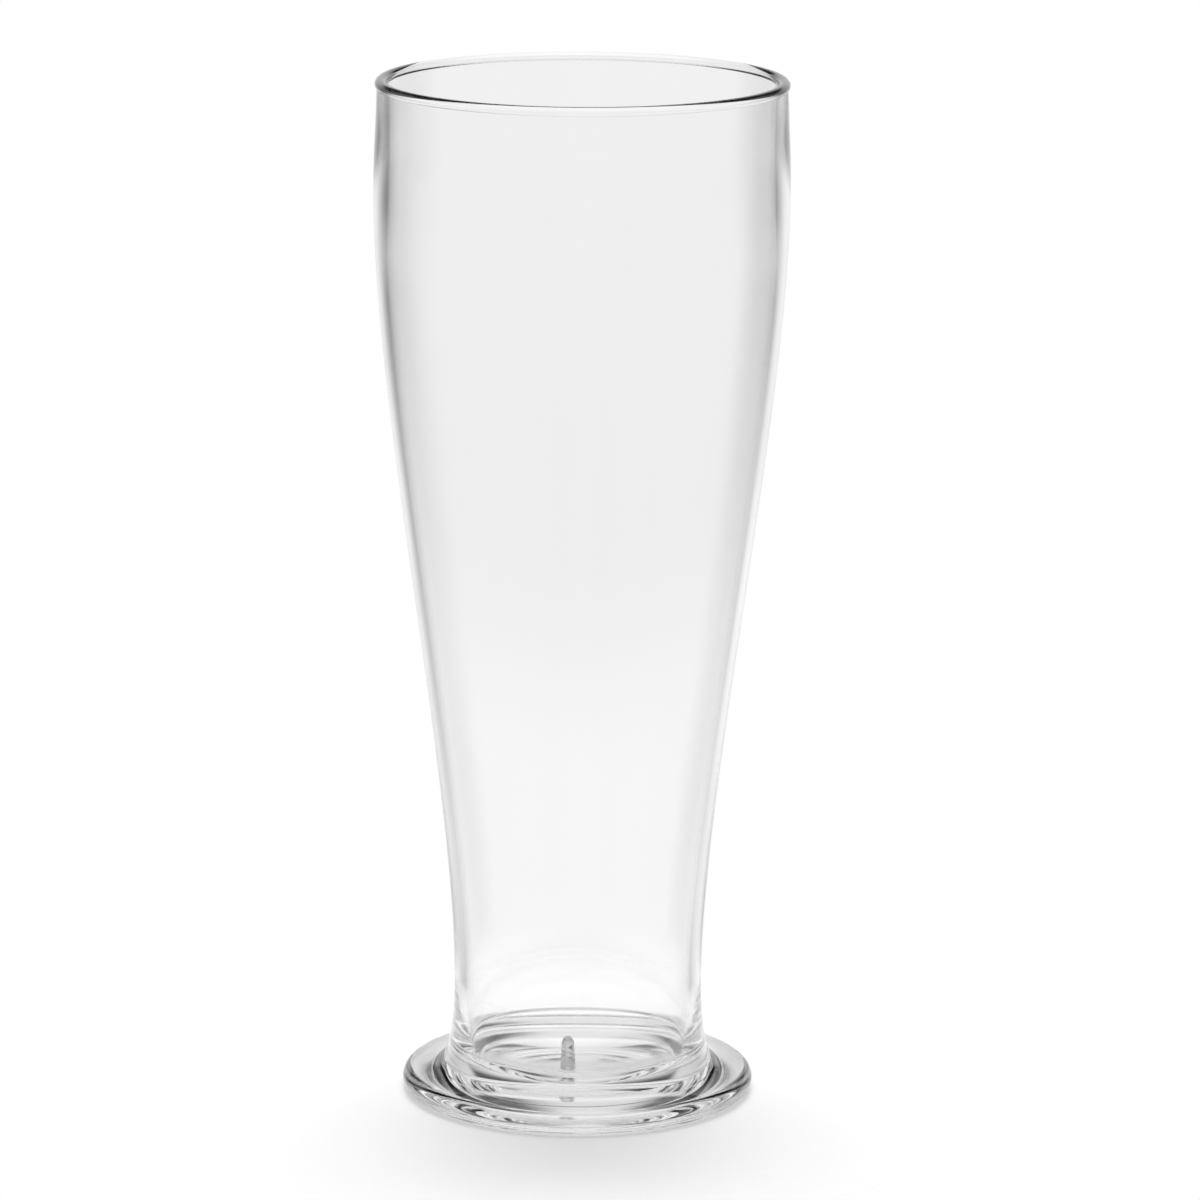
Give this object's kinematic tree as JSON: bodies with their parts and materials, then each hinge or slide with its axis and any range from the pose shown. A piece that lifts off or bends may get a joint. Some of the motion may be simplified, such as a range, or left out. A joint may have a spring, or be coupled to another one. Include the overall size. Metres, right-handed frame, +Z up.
{
  "type": "wheat beer glass",
  "caption": "Tall clear wheat beer glass: a curved bowl with a rounded lip and a narrow waist, on a round flat foot, with a small foam pin on its floor.",
  "frame": {"origin": "on the glass's axis, on the surface that it stands on", "axes": "+Z up along the glass's axis, towards the rim; the foam pin stands a little off the axis, towards -X and -Y"},
  "size_m": [0.0838, 0.0838, 0.21],
  "materials": {
    "clear_plastic": "polished",
    "clear_pin": "polished"
  },
  "bodies": {
    "root": {"bowl": "clear_plastic", "foot_ring": "clear_plastic", "foam_pin": "clear_pin"}
  },
  "joints": []
}
